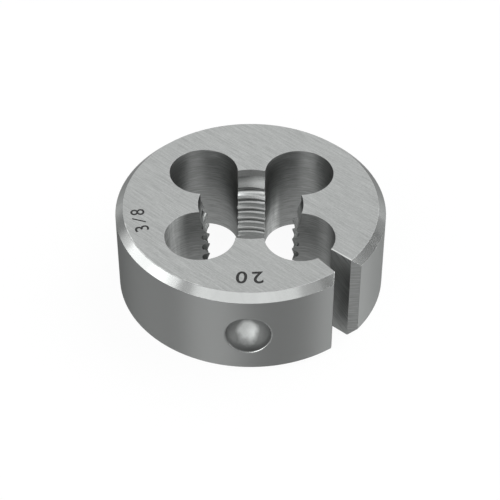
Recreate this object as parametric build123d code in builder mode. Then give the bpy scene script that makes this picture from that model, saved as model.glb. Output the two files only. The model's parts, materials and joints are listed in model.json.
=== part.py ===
from build123d import *
import os
from math import ceil, cos, radians, sin, tan

# A round split die that cuts a 3/8 in thread of 55 degree form, 20 threads to the inch.
# It is one solid of hardened steel. Sizes are in millimetres and angles in degrees.
# Z is the thread's axis. The origin is on that axis, in the lower face.
# The adjusting slot lies at -45 degrees, and the locating dimple beside it faces -Y.

# Blank
outer_diameter = 25.4
thickness = 9.525
edge_chamfer = 0.7

# Thread in the lands: the roots between the teeth give the screw its outside diameter
thread_diameter = 9.525
tooth_height = 0.55
tooth_tip_width = 0.2
threads_per_inch = 20
flank_angle = 55.0
first_groove_height = 0.6

# Entrances: a plain recess that clears the thread, then a cone down to the full teeth.
# Recesses and leads are measured from their own face.
entrance_clearance = 0.18
top_recess = 0.78
top_lead = 3.1
bottom_recess = 0.8
bottom_lead = 1.8

# Clearance holes between the lands, where the chips go
hole_count = 4
hole_diameter = 6.54
hole_circle_diameter = 12.95
first_hole_angle = 45.0

# Adjusting slot, from the last clearance hole out to the rim, with a flared mouth
slot_spread = 10.1
mouth_depth = 0.7
mouth_angle = 100.0

# Dimple in the rim, where a screw of the die stock bears
dimple_from_slot = 45.0
dimple_diameter = 4.2
dimple_depth = 1.8
dimple_edge_radius = 0.15

# Radii and directions
outer_radius = outer_diameter / 2
thread_radius = thread_diameter / 2
tip_radius = thread_radius - tooth_height
entrance_radius = thread_radius + entrance_clearance
dimple_radius = dimple_diameter / 2
land_step = 360 / hole_count
first_land_angle = first_hole_angle - land_step / 2
slot_angle = first_hole_angle - land_step
dimple_angle = slot_angle - dimple_from_slot

# The groove's cutter starts a little inside the tooth tips, so that it clears them
pitch = 25.4 / threads_per_inch
half_flank = radians(flank_angle / 2)
groove_overlap = 0.15
groove_inner_radius = tip_radius - groove_overlap
groove_depth = thread_radius - groove_inner_radius
groove_half_width = (pitch - tooth_tip_width) / 2 + groove_overlap * tan(half_flank)

# Its round root runs into both flanks, short of the point where they would meet
flank_point_depth = groove_half_width / tan(half_flank)
root_radius = (flank_point_depth - groove_depth) / (1 / sin(half_flank) - 1)
root_centre_depth = groove_depth - root_radius
flank_end_depth = root_centre_depth + root_radius * sin(half_flank)
flank_end_half_width = root_radius * cos(half_flank)

# One land's stretch of the groove, as a solid with a right-hand lead.
# Its middle is at height 0, half a land's step from X, and its ends are out in the holes.
land_rise = pitch / hole_count
with BuildPart() as groove:
    with BuildLine() as helix:
        Helix(
            pitch=pitch,
            height=land_rise,
            radius=groove_inner_radius,
            center=(0, 0, -land_rise / 2),
        )
    across_helix = Plane(origin=helix.line @ 0, x_dir=(1, 0, 0), z_dir=helix.line % 0)
    with BuildSketch(across_helix):
        with BuildLine():
            Polyline(
                (flank_end_depth, flank_end_half_width),
                (0, groove_half_width),
                (0, -groove_half_width),
                (flank_end_depth, -flank_end_half_width),
            )
            ThreePointArc(
                (flank_end_depth, -flank_end_half_width),
                (groove_depth, 0),
                (flank_end_depth, flank_end_half_width),
            )
        make_face()
    sweep(path=helix.line, is_frenet=True)

# Each next stretch is one land further round and one land's rise further up
lowest_stretch = ceil(-first_groove_height / land_rise)
highest_stretch = ceil((thickness - first_groove_height) / land_rise)
groove_places = []
for stretch in range(lowest_stretch, highest_stretch):
    stretch_height = first_groove_height + stretch * land_rise
    stretch_turn = first_land_angle + (stretch - 0.5) * land_step
    groove_places.append(Location((0, 0, stretch_height), (0, 0, stretch_turn)))

# The die
with BuildPart() as threading_die:
    # Turned blank, bored through with a recess and a cone at each end
    with BuildSketch(Plane.XZ):
        with BuildLine():
            Polyline(
                (tip_radius, bottom_lead),
                (entrance_radius, bottom_recess),
                (entrance_radius, 0),
                (outer_radius - edge_chamfer, 0),
                (outer_radius, edge_chamfer),
                (outer_radius, thickness - edge_chamfer),
                (outer_radius - edge_chamfer, thickness),
                (entrance_radius, thickness),
                (entrance_radius, thickness - top_recess),
                (tip_radius, thickness - top_lead),
                close=True,
            )
        make_face()
    revolve(axis=Axis.Z)

    # Clearance holes, which leave the lands between them
    with BuildSketch():
        with PolarLocations(hole_circle_diameter / 2, hole_count, start_angle=first_hole_angle):
            Circle(hole_diameter / 2)
    extrude(amount=thickness, mode=Mode.SUBTRACT)

    # Slot with radial walls, and the flare of its mouth
    half_spread = radians(slot_spread / 2)
    half_mouth = radians(mouth_angle / 2)
    flare_radius = outer_radius - mouth_depth
    flare_length = 2 * mouth_depth
    flare_start = (flare_radius * cos(half_spread), flare_radius * sin(half_spread))
    flare_end = (flare_start[0] + flare_length, flare_start[1] + flare_length * tan(half_mouth))
    with BuildSketch(Plane.XY.rotated((0, 0, slot_angle))):
        with BuildLine():
            Polyline((0, 0), flare_start, flare_end, (flare_end[0], 0))
            mirror(about=Plane.XZ)
        make_face()
    extrude(amount=thickness, mode=Mode.SUBTRACT)

    # Round-bottomed dimple with a softened rim
    ball_radius = (dimple_radius**2 + dimple_depth**2) / (2 * dimple_depth)
    ball_distance = outer_radius - dimple_depth + ball_radius
    ball_x = ball_distance * cos(radians(dimple_angle))
    ball_y = ball_distance * sin(radians(dimple_angle))
    with Locations((ball_x, ball_y, thickness / 2)):
        Sphere(ball_radius, mode=Mode.SUBTRACT)
    fillet(threading_die.edges(Select.LAST), dimple_edge_radius)

    # Thread, land by land
    with Locations(*groove_places):
        add(groove.part, mode=Mode.SUBTRACT)

threading_die.part.label = "threading_die"
os.makedirs("parts", exist_ok=True)
export_step(threading_die.part, "parts/threading_die.step")
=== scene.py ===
import json
from math import cos, pi, radians, sin, tan

import bmesh
import bpy
from mathutils import Matrix, Vector


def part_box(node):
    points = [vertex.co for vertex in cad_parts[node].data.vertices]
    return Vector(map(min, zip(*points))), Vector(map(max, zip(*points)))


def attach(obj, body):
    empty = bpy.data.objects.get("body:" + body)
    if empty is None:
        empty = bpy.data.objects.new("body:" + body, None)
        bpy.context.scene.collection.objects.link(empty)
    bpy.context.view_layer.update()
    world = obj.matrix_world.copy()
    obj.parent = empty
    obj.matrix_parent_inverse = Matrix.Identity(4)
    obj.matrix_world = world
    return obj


# A round split threading die of ground and turned steel, on a plain white floor.
# The camera stands where it stood for the photograph.
# Lengths are in metres unless a name says mm, and angles in radians unless a name says deg.

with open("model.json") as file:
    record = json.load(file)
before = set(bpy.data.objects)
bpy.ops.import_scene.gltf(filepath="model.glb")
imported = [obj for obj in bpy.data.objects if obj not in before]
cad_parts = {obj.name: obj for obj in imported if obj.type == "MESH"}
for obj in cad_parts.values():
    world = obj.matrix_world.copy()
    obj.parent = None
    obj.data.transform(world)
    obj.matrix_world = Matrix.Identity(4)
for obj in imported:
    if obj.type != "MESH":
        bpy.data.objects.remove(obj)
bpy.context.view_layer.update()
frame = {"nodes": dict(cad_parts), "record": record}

MM = 0.001
DIE = "threading_die"

# Sizes of the die, from the frame
die = frame["nodes"][DIE]
low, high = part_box(DIE)
thickness_mm = (high.z - low.z) / MM
mounts = {mount["name"]: mount for mount in frame["record"]["mounts"]}
outer_radius_mm = mounts["rim"]["dims"]["r_mm"]
thread_radius_mm = mounts["thread"]["dims"]["r_mm"]
dimple_radius_mm = mounts["dimple"]["dims"]["r_mm"]

# Clearance holes. Their axes are as far from the X axis as from the Y axis.
hole_radius_mm = 3.27
hole_offset_mm = 4.58

# Other limits of surfaces that the record has no size for
face_edge_mm = 12.0
land_reach_mm = 5.3
recess_mm = 0.9
low_cone_top_mm = 1.9
slot_angle = radians(-45)
slot_reach = radians(12)
slot_inner_mm = 9.4
flare_inner_mm = 12.0
dimple_limit_mm = -10.0

# The upper cone's radius shrinks by this share of the depth, from under this limit at the face
cone_narrowing = 0.314
cone_limit_mm = 5.24

# How level a surface is, from 0 if it is upright to 1 if it is level, is the height of its unit normal.
# Faces are more level than their limit, and the walls of the rim, the slot and the holes less than theirs.
face_levelness = 0.9
wall_levelness = 0.3
hole_levelness = 0.5

# The unit normals of the two cones point up by this much, give or take
cone_facing, cone_facing_range = 0.30, 0.04
low_cone_facing, low_cone_facing_range = -0.585, 0.06

# A point this near to the rim or to the wall of a hole counts as on it
facet_room_mm = 0.04

# Masks change softly over this width
soft_edge_mm = 0.02

# Grinding lines on the two faces run nearly along the slot
grinding_angle = radians(-42)
grinding_x, grinding_y = cos(grinding_angle), sin(grinding_angle)


class Nodes:
    """Adds shader nodes to one tree. Its calls take numbers or sockets, and most give back a socket."""

    def __init__(self, tree):
        self.tree = tree

    def add(self, kind, inputs, output=0, **settings):
        node = self.tree.nodes.new(kind)
        for name, value in settings.items():
            setattr(node, name, value)
        for key, value in inputs.items():
            self.put(node.inputs[key], value)
        return node.outputs[output]

    def put(self, socket, value):
        if isinstance(value, bpy.types.NodeSocket):
            self.tree.links.new(value, socket)
        else:
            socket.default_value = value

    def math(self, operation, *values):
        return self.add("ShaderNodeMath", dict(enumerate(values)), operation=operation)

    def plus(self, first, second):
        return self.math("ADD", first, second)

    def minus(self, first, second):
        return self.math("SUBTRACT", first, second)

    def times(self, product, *factors):
        for factor in factors:
            product = self.math("MULTIPLY", product, factor)
        return product

    def larger(self, first, second):
        return self.math("MAXIMUM", first, second)

    def distance(self, first, second):
        """The long side of a right-angled triangle with these two short sides."""
        squares = [self.math("POWER", value, 2.0) for value in (first, second)]
        return self.math("SQRT", self.plus(*squares))

    def below(self, value, limit):
        return self.math("LESS_THAN", value, limit)

    def above(self, value, limit):
        return self.math("GREATER_THAN", value, limit)

    def near(self, value, target, reach):
        return self.math("COMPARE", value, target, reach)

    def outside(self, mask):
        """1 where the mask is 0, and 0 where it is 1."""
        return self.minus(1.0, mask)

    def split(self, value):
        node = self.tree.nodes.new("ShaderNodeSeparateXYZ")
        self.put(node.inputs[0], value)
        return tuple(node.outputs)

    def join(self, x, y, z):
        return self.add("ShaderNodeCombineXYZ", {0: x, 1: y, 2: z})

    def colour(self, red, green, blue):
        return self.add("ShaderNodeCombineColor", {0: red, 1: green, 2: blue})

    def step(self, value, edge, width):
        """0 below the edge and 1 above it, with a soft change of the given width."""
        inputs = {"Value": value, "From Min": edge - width / 2, "From Max": edge + width / 2}
        return self.add("ShaderNodeMapRange", inputs, interpolation_type="SMOOTHSTEP")

    def fade(self, value, start, end, to_start, to_end):
        """Goes from one number to another as the value goes from its start to its end."""
        inputs = {"Value": value, "From Min": start, "From Max": end, "To Min": to_start, "To Max": to_end}
        return self.add("ShaderNodeMapRange", inputs)

    def spread(self, value, width):
        """Stretches a noise, whose values lie near 0.5, to the range from 0 to 1."""
        return self.fade(value, 0.5 - width / 2, 0.5 + width / 2, 0.0, 1.0)

    def mix(self, factor, low_value, high_value):
        """Goes from one number to another as the factor goes from 0 to 1."""
        inputs = {"Factor": factor, "A": low_value, "B": high_value}
        return self.add("ShaderNodeMix", inputs, data_type="FLOAT")

    def mix_vector(self, factor, first, second):
        """The same for vectors, which have sockets of their own on the node."""
        inputs = {0: factor, 4: first, 5: second}
        return self.add("ShaderNodeMix", inputs, 1, data_type="VECTOR")

    def noise(self, vector, scale, detail=2.0, roughness=0.5):
        inputs = {"Vector": vector, "Scale": scale, "Detail": detail, "Roughness": roughness}
        return self.add("ShaderNodeTexNoise", inputs)


def new_material(name):
    material = bpy.data.materials.new(name)
    material.use_nodes = True
    shader = material.node_tree.nodes["Principled BSDF"]
    return material, shader, Nodes(material.node_tree)


class Place:
    """Where a point of the die lies, in millimetres and radians, and how far it faces up."""

    def __init__(self, n):
        coordinates = n.tree.nodes.new("ShaderNodeTexCoord")
        inputs = {0: coordinates.outputs["Object"], "Scale": 1 / MM}
        self.point = n.add("ShaderNodeVectorMath", inputs, operation="SCALE")
        self.x, self.y, self.z = n.split(self.point)
        self.radius = n.distance(self.x, self.y)
        self.angle = n.math("ARCTAN2", self.y, self.x)
        self.depth = n.minus(thickness_mm, self.z)
        self.facing_up = n.split(coordinates.outputs["Normal"])[2]
        self.levelness = n.math("ABSOLUTE", self.facing_up)

        # From the middle of the dimple, and from the axis of the nearest clearance hole
        self.above_dimple = n.minus(self.z, thickness_mm / 2)
        self.from_dimple = n.distance(self.x, self.above_dimple)
        self.hole_x = n.minus(n.math("ABSOLUTE", self.x), hole_offset_mm)
        self.hole_y = n.minus(n.math("ABSOLUTE", self.y), hole_offset_mm)
        self.from_hole = n.distance(self.hole_x, self.hole_y)
        self.round_hole = n.times(n.math("ARCTAN2", self.hole_y, self.hole_x), hole_radius_mm)


def surface_masks(n, at):
    """A mask for each surface but the chamfers: 1 on it, and 0 off it."""
    levelness_width = 0.05
    recess_fade_mm = 0.5
    dimple_room_mm = 0.02

    on_face = n.step(at.levelness, face_levelness, levelness_width)
    on_rim = n.step(at.radius, outer_radius_mm - facet_room_mm, soft_edge_mm)
    off_rim = n.outside(on_rim)
    off_hole = n.step(at.from_hole, hole_radius_mm + facet_room_mm, soft_edge_mm)
    upright = n.below(at.levelness, wall_levelness)

    near_bore = n.outside(n.step(at.radius, land_reach_mm, soft_edge_mm))
    in_thread = n.times(off_hole, near_bore, n.outside(on_face))
    from_cone = n.plus(at.radius, n.times(at.depth, cone_narrowing))
    faces_as_cone = n.near(at.facing_up, cone_facing, cone_facing_range)
    faces_as_low_cone = n.near(at.facing_up, low_cone_facing, low_cone_facing_range)
    by_the_recess = n.fade(at.depth, recess_mm, recess_mm + recess_fade_mm, 1.0, 0.0)

    near_slot = n.below(n.math("ABSOLUTE", n.minus(at.angle, slot_angle)), slot_reach)
    in_slot = n.times(near_slot, off_hole, upright, off_rim, n.above(at.radius, slot_inner_mm))
    near_dimple = n.below(at.from_dimple, dimple_radius_mm + dimple_room_mm)
    return {
        "face": on_face,
        "wall": n.times(on_rim, upright),
        "slot": in_slot,
        "flare": n.times(in_slot, n.above(at.radius, flare_inner_mm)),
        "hole": n.times(n.outside(off_hole), n.below(at.levelness, hole_levelness)),
        "thread": in_thread,
        "cone": n.times(in_thread, faces_as_cone, n.below(from_cone, cone_limit_mm)),
        "low_cone": n.times(in_thread, faces_as_low_cone, n.below(at.z, low_cone_top_mm)),
        "recess": n.times(in_thread, by_the_recess),
        "dimple": n.times(near_dimple, n.below(at.y, dimple_limit_mm), off_rim),
    }


def strokes(n, along, across, length_mm, width_mm, seed):
    """Fine parallel tool marks: noise drawn out along one direction. Its mean is about 0.5."""
    place = n.join(n.math("DIVIDE", along, length_mm), n.math("DIVIDE", across, width_mm), seed)
    return n.spread(n.noise(place, scale=1.0, detail=3.0, roughness=0.65), width=0.4)


def tool_marks(n, at):
    """The marks that each tool left, and the grain of the steel, from 0 to 1."""
    long_share, grain_share, worn_share = 0.22, 0.30, 0.5
    saw_slant = 0.8

    grain = n.spread(n.noise(at.point, scale=7.0, detail=4.0), width=0.5)
    along = n.plus(n.times(at.x, grinding_x), n.times(at.y, grinding_y))
    across = n.minus(n.times(at.y, grinding_x), n.times(at.x, grinding_y))
    fine_lines = strokes(n, along, across, length_mm=2.4, width_mm=0.10, seed=3.0)
    long_lines = strokes(n, along, across, length_mm=12.0, width_mm=0.40, seed=7.0)
    ground = n.mix(grain_share, n.mix(long_share, fine_lines, long_lines), grain)

    round_axis = n.times(at.angle, outer_radius_mm)
    along_section = n.plus(at.z, at.radius)
    turned = strokes(n, round_axis, along_section, length_mm=9.0, width_mm=0.12, seed=11.0)
    along_saw = n.minus(at.radius, at.z)
    across_saw = n.plus(at.z, n.times(at.radius, saw_slant))
    return {
        "ground": ground,
        "turned": turned,
        "sawn": strokes(n, along_saw, across_saw, length_mm=4.0, width_mm=0.14, seed=17.0),
        "planed": strokes(n, at.radius, at.z, length_mm=2.5, width_mm=0.12, seed=29.0),
        "reamed": strokes(n, at.round_hole, at.z, length_mm=1.7, width_mm=0.12, seed=23.0),
        "grain": grain,
        "worn": n.mix(worn_share, turned, grain),
    }


def face_tone(n, at):
    """Painted highlights: light lines along one side of the slot and along part of the face's edge, where
    the edges catch the light.
    """
    plain, painted_highlight = 0.47, 0.82
    highlight_past_slot, highlight_half_width = radians(5.4), radians(0.45)
    slot_highlight_end_mm = face_edge_mm - 0.05
    rim_highlight_middle, rim_highlight_reach = radians(-138), radians(28)
    rim_highlight_inner_mm = face_edge_mm - 0.09

    # Both light lines are painted highlights along edges.
    slot_highlight = n.near(n.minus(at.angle, slot_angle), highlight_past_slot, highlight_half_width)
    slot_highlight = n.times(slot_highlight, n.below(at.radius, slot_highlight_end_mm))
    rim_highlight = n.near(at.angle, rim_highlight_middle, rim_highlight_reach)
    rim_highlight = n.times(rim_highlight, n.step(at.radius, rim_highlight_inner_mm, soft_edge_mm))
    rim_highlight = n.times(rim_highlight, n.spread(n.noise(at.point, scale=1.5), width=0.3))
    return n.mix(n.larger(slot_highlight, rim_highlight), plain, painted_highlight)


def hole_tone(n, at):
    """One near hole is lighter on its outer side, and one far hole has a painted reflection, lighter low
    down on its inner side.
    """
    plain, dim_streak, light_streak = 0.26, 0.42, 0.62
    near_start_mm, near_end_mm = -7.4, -5.9
    far_edge_mm, far_edge_width_mm = -1.95, 0.6
    far_top_mm, far_bottom_mm = 7.0, 2.0

    streaks = strokes(n, at.z, at.round_hole, length_mm=3.0, width_mm=0.45, seed=31.0)
    near_lighter_side = n.times(n.fade(at.x, near_start_mm, near_end_mm, 1.0, 0.0), n.below(at.y, 0.0))
    # The far hole's lighter low patch is a painted reflection.
    far_painted_reflection = n.outside(n.step(at.hole_x, far_edge_mm, far_edge_width_mm))
    far_painted_reflection = n.times(far_painted_reflection, n.fade(at.z, far_top_mm, far_bottom_mm, 0.0, 1.0))
    far_painted_reflection = n.times(far_painted_reflection, n.above(at.x, 0.0), n.above(at.y, 0.0))
    return n.mix(n.larger(near_lighter_side, far_painted_reflection), plain, n.mix(streaks, dim_streak, light_streak))


def thread_tone(n, at):
    """The roots are painted dark as shade in the grooves, and the first flanks of the far land are painted
    light near the tips of its teeth as a highlight.
    """
    root, flank, light_flank, flank_highlight = 0.22, 0.44, 0.55, 0.95
    light_start_mm, light_end_mm = thread_radius_mm - 0.24, thread_radius_mm - 0.14
    root_start_mm, root_end_mm = thread_radius_mm - 0.13, thread_radius_mm - 0.02
    far_land_y_mm = 3.0
    first_start_mm, first_end_mm = 2.8, 3.2

    # The far land's first flanks are painted lighter near the tips, as a highlight.
    first_flank = n.fade(at.radius, light_start_mm, light_end_mm, flank_highlight, light_flank)
    first_flank = n.mix(n.above(at.y, far_land_y_mm), flank, first_flank)
    flank_tone = n.fade(at.depth, first_start_mm, first_end_mm, first_flank, flank)
    # The roots are painted darker, as shade deep in the grooves.
    return n.fade(at.radius, root_start_mm, root_end_mm, flank_tone, root)


def cone_tone(n, at):
    """The upper cone is painted lighter at its deep end, as a highlight on the first crest."""
    upper, deep = 0.52, 0.70
    start_mm, end_mm = 2.0, 2.3
    return n.fade(at.depth, start_mm, end_mm, upper, deep)


def dimple_tone(n, at):
    """The middle of the dimple is lighter, partly rubbed bright by the screws that bear in it and partly a
    painted reflection, which sits below the middle. Its edge is painted dark as shade.
    """
    bright, dull, edge_shade_share = 0.57, 0.23, 0.62
    patch_x_mm, patch_z_mm = -0.08, -0.75
    patch_start_mm, patch_end_mm = 1.05, 1.50
    ragged_mm = 0.7
    edge_start_mm, edge_end_mm = 1.85, 2.05

    # The light patch is partly rubbed metal and partly a painted reflection.
    from_patch = n.distance(n.minus(at.x, patch_x_mm), n.minus(at.above_dimple, patch_z_mm))
    from_patch = n.plus(from_patch, n.times(n.noise(at.point, scale=1.2, detail=4.0), ragged_mm))
    tone = n.fade(from_patch, patch_start_mm, patch_end_mm, bright, dull)
    # The dark edge is painted shade.
    return n.times(tone, n.fade(at.from_dimple, edge_start_mm, edge_end_mm, 1.0, edge_shade_share))


def steel_material():
    """Hardened steel with its own tool marks on each surface, and painted highlights, reflections and shade
    in places.
    """
    material, shader, n = new_material("die_steel")
    at = Place(n)
    masks = surface_masks(n, at)
    marks = tool_marks(n, at)

    # Each surface has its marks and, in columns, how light it is, how rough it is,
    # how much its marks vary it, how far its gloss is drawn out and how bright it stays at a low angle.
    # The chamfers' finish holds wherever no mask does, and a later surface covers an earlier one.
    chamfer = (marks["turned"], 0.44, 0.18, 0.32, 0.30, 0.36)
    surfaces = {
        "face": (marks["ground"], face_tone(n, at), 0.30, 0.66, 0.90, 0.45),
        "wall": (marks["turned"], 0.27, 0.70, 0.04, 0.95, 0.15),
        "slot": (marks["sawn"], 0.30, 0.45, 0.80, 0.80, 0.15),
        "flare": (marks["planed"], 0.25, 0.45, 0.75, 0.80, 0.15),
        "hole": (marks["reamed"], hole_tone(n, at), 0.43, 0.60, 0.40, 0.45),
        "thread": (marks["worn"], thread_tone(n, at), 0.30, 0.45, 0.30, 0.15),
        "cone": (marks["worn"], cone_tone(n, at), 0.50, 0.45, 0.30, 0.15),
        "low_cone": (marks["worn"], 0.38, 0.50, 0.45, 0.30, 0.15),
        "recess": (marks["worn"], 0.23, 0.40, 0.45, 0.30, 0.15),
        "dimple": (marks["grain"], dimple_tone(n, at), 0.64, 0.20, 0.0, 0.15),
    }
    finish = chamfer
    for surface, its_finish in surfaces.items():
        finish = [n.mix(masks[surface], other, its) for other, its in zip(finish, its_finish)]
    pattern, tone, rough, variation, stretch, graze = finish

    # The marks make a place lighter or darker, and rougher or smoother
    rough_variation = 0.15
    swing = n.minus(pattern, 0.5)
    tone = n.times(tone, n.plus(1.0, n.times(swing, variation)))
    rough = n.times(rough, n.plus(1.0, n.times(swing, rough_variation)))

    # The steel has a little less red and blue in it than green
    red_share, blue_share = 0.975, 0.987
    colour = n.colour(n.times(tone, red_share), tone, n.times(tone, blue_share))

    # The gloss is drawn out across the grinding lines on the faces, and upright elsewhere
    across_face = (-grinding_y, grinding_x, 0.0)
    upright = (0.0, 0.0, 1.0)

    # The marks are a thousandth of a millimetre deep, and the edges are a little rounded
    mark_depth_mm, edge_radius_mm = 0.001, 0.05
    rounded = n.add("ShaderNodeBevel", {"Radius": edge_radius_mm * MM}, samples=4)
    bump = {"Strength": 1.0, "Distance": mark_depth_mm * MM, "Height": pattern, "Normal": rounded}

    shader.inputs["Metallic"].default_value = 1.0
    n.put(shader.inputs["Base Color"], colour)
    n.put(shader.inputs["Roughness"], rough)
    n.put(shader.inputs["Anisotropic"], stretch)
    n.put(shader.inputs["Specular Tint"], graze)
    n.put(shader.inputs["Tangent"], n.mix_vector(masks["face"], upright, across_face))
    n.put(shader.inputs["Normal"], n.add("ShaderNodeBump", bump))
    return material


def mark_material():
    """Dull dark ink, a little uneven."""
    low_noise, high_noise = 0.3, 0.7
    darkest, lightest = 0.012, 0.05
    material, shader, n = new_material("dark_mark")
    coordinates = n.tree.nodes.new("ShaderNodeTexCoord")
    speckle = n.noise(coordinates.outputs["Object"], scale=9000.0)
    tone = n.fade(speckle, low_noise, high_noise, darkest, lightest)
    n.put(shader.inputs["Base Color"], n.colour(tone, tone, tone))
    shader.inputs["Roughness"].default_value = 0.55
    shader.inputs["Specular IOR Level"].default_value = 0.15
    return material


def floor_material():
    """Nearly white to the camera and in reflections, with a faint shadow under the die."""
    white_share = 0.94
    material, shader, n = new_material("white_floor")
    shader.inputs["Base Color"].default_value = (0.95, 0.95, 0.95, 1)
    shader.inputs["Roughness"].default_value = 1.0
    shader.inputs["Specular IOR Level"].default_value = 0.0
    rays = n.tree.nodes.new("ShaderNodeLightPath")
    seen = n.larger(rays.outputs["Is Camera Ray"], rays.outputs["Is Glossy Ray"])
    seen = n.larger(seen, rays.outputs["Is Transmission Ray"])
    white = n.add("ShaderNodeEmission", {"Color": (1, 1, 1, 1), "Strength": 1.0})
    shaders = {0: n.times(seen, white_share), 1: shader.outputs[0], 2: white}
    n.put(n.tree.nodes["Material Output"].inputs["Surface"], n.add("ShaderNodeMixShader", shaders))
    return material


def add_object(name, data):
    added = bpy.data.objects.new(name, data)
    bpy.context.scene.collection.objects.link(added)
    return added


die.data.materials.clear()
die.data.materials.append(steel_material())

# Numbers on the upper face: the thread's size and its threads to the inch, read from outside the rim.
# They stand this far proud of the face and reach as far into it.
mark_relief = 0.006 * MM
dark = mark_material()

# The height of a figure as a share of its font's size, and how much further the slash leans
figure_share = 0.7
slash_lean = radians(-16)


def figure_mesh(figure, height_mm, thicken_mm):
    """One figure as a thin flat mesh, upright in the XY plane and centred on the origin."""
    curve = bpy.data.curves.new("figure", "FONT")
    curve.body = figure
    curve.align_x = "CENTER"
    curve.align_y = "CENTER"
    curve.size = height_mm * MM / figure_share
    curve.offset = thicken_mm * MM
    curve.extrude = mark_relief
    outline = add_object("figure", curve)
    shown = outline.evaluated_get(bpy.context.evaluated_depsgraph_get())
    mesh = bpy.data.meshes.new_from_object(shown)
    bpy.data.objects.remove(outline)
    return mesh


def mark(name, text, height_mm, spacing_mm, radius_mm, azimuth, thicken_mm):
    """Figures along a circle about the axis, with their tops towards the rim."""
    joined = bmesh.new()
    for index, figure in enumerate(text):
        steps = (len(text) - 1) / 2 - index
        mesh = figure_mesh(figure, height_mm, thicken_mm)
        out = Matrix.Rotation(azimuth + steps * spacing_mm / radius_mm, 4, "Z")
        lean = slash_lean if figure == "/" else 0
        upright = Matrix.Rotation(radians(-90) + lean, 4, "Z")
        mesh.transform(out @ Matrix.Translation((radius_mm * MM, 0, high.z)) @ upright)
        joined.from_mesh(mesh)
    mesh = bpy.data.meshes.new(name)
    joined.to_mesh(mesh)
    joined.free()
    mesh.materials.append(dark)
    piece = add_object(name, mesh)
    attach(piece, "root")


mark(
    "size_mark",
    "3/8",
    height_mm=1.3,
    spacing_mm=1.15,
    radius_mm=10.55,
    azimuth=radians(-166),
    thicken_mm=0.01,
)
mark(
    "pitch_mark",
    "20",
    height_mm=1.5,
    spacing_mm=1.45,
    radius_mm=10.0,
    azimuth=radians(-89.5),
    thicken_mm=0.03,
)

# Camera, fitted to the edges of the die in the photograph
elevation = radians(42.594)
turn = radians(0.9967)
distance = 12.4582 * outer_radius_mm * MM
focal_pixels = 1654.47
frame_pixels = 500
sensor_width = 36.0
aim_right = -0.005009 * outer_radius_mm * MM
aim_up = -0.067407 * outer_radius_mm * MM

back = Vector((0, -cos(elevation), sin(elevation)))
right = Vector((1, 0, 0))
up = back.cross(right)
centre = Vector((0, 0, thickness_mm * MM / 2))
camera_data = bpy.data.cameras.new("camera")
camera_data.sensor_width = sensor_width
camera_data.lens = focal_pixels / frame_pixels * sensor_width
camera_data.clip_start = 0.01
camera_data.clip_end = 10.0
camera = add_object("camera", camera_data)
axes = Matrix((right, up, back)).transposed().to_4x4()
aim = Matrix.Translation(centre + right * aim_right + up * aim_up + back * distance)
camera.matrix_world = Matrix.Rotation(turn, 4, "Z") @ aim @ axes
bpy.context.scene.camera = camera

# Floor
floor_reach = 3.0
floor_mesh = bpy.data.meshes.new("floor")
corners = [(-floor_reach, -floor_reach, 0), (floor_reach, -floor_reach, 0)]
corners += [(floor_reach, floor_reach, 0), (-floor_reach, floor_reach, 0)]
floor_mesh.from_pydata(corners, [], [(0, 1, 2, 3)])
floor_mesh.materials.append(floor_material())
floor = add_object("floor", floor_mesh)

# World
world_level = 0.37
world = bpy.data.worlds.new("studio")
bpy.context.scene.world = world
world.use_nodes = True
background = world.node_tree.nodes["Background"]
background.inputs["Color"].default_value = (1, 1, 1, 1)
background.inputs["Strength"].default_value = world_level

# Soft lamps, all as far from the die
lamp_distance = 0.5


def softbox(name, azimuth_deg, elevation_deg, width_deg, height_deg, level):
    """A lamp that faces the die, as wide and high as it looks from there. A level of 1 is white."""
    lamp = bpy.data.lights.new(name, "AREA")
    lamp.shape = "RECTANGLE"
    lamp.size = 2 * lamp_distance * tan(radians(width_deg / 2))
    lamp.size_y = 2 * lamp_distance * tan(radians(height_deg / 2))
    lamp.energy = level * pi * lamp.size * lamp.size_y
    azimuth, rise = radians(azimuth_deg), radians(elevation_deg)
    direction = Vector((cos(azimuth) * cos(rise), sin(azimuth) * cos(rise), sin(rise)))
    facing = direction.to_track_quat("Z", "Y").to_matrix().to_4x4()
    box = add_object(name, lamp)
    box.matrix_world = Matrix.Translation(centre + direction * lamp_distance) @ facing


# Columns after the name: azimuth, elevation, width and height in degrees, and level
softboxes = [
    ("back_box", 95, 42, 36, 34, 0.72),
    ("low_back_box", 65, 12, 50, 22, 0.75),
    ("right_box", 22, 53, 58, 44, 2.3),
    ("low_right_box", -17, 7, 46, 12, 7.6),
    ("far_right_box", 15, 5, 20, 8, 3.4),
    ("right_back_box", 37, 6, 15, 8, 0.30),
    ("left_box", 183, 24, 38, 18, 2.2),
    ("upper_left_box", 198, 36, 18, 14, 1.65),
    ("low_left_box", 157, 16, 14, 12, 0.85),
    ("left_front_box", -121, 14, 32, 26, 4.2),
    ("low_front_box", -100, 8, 14, 14, 4.4),
    ("front_box", -93, 47, 68, 28, 1.04),
    ("left_gap_box", -147, 38, 11, 14, 0.40),
    ("right_front_box", -36, 41, 12, 24, 0.4),
]
for row in softboxes:
    softbox(*row)

bpy.context.scene.view_settings.view_transform = "Standard"
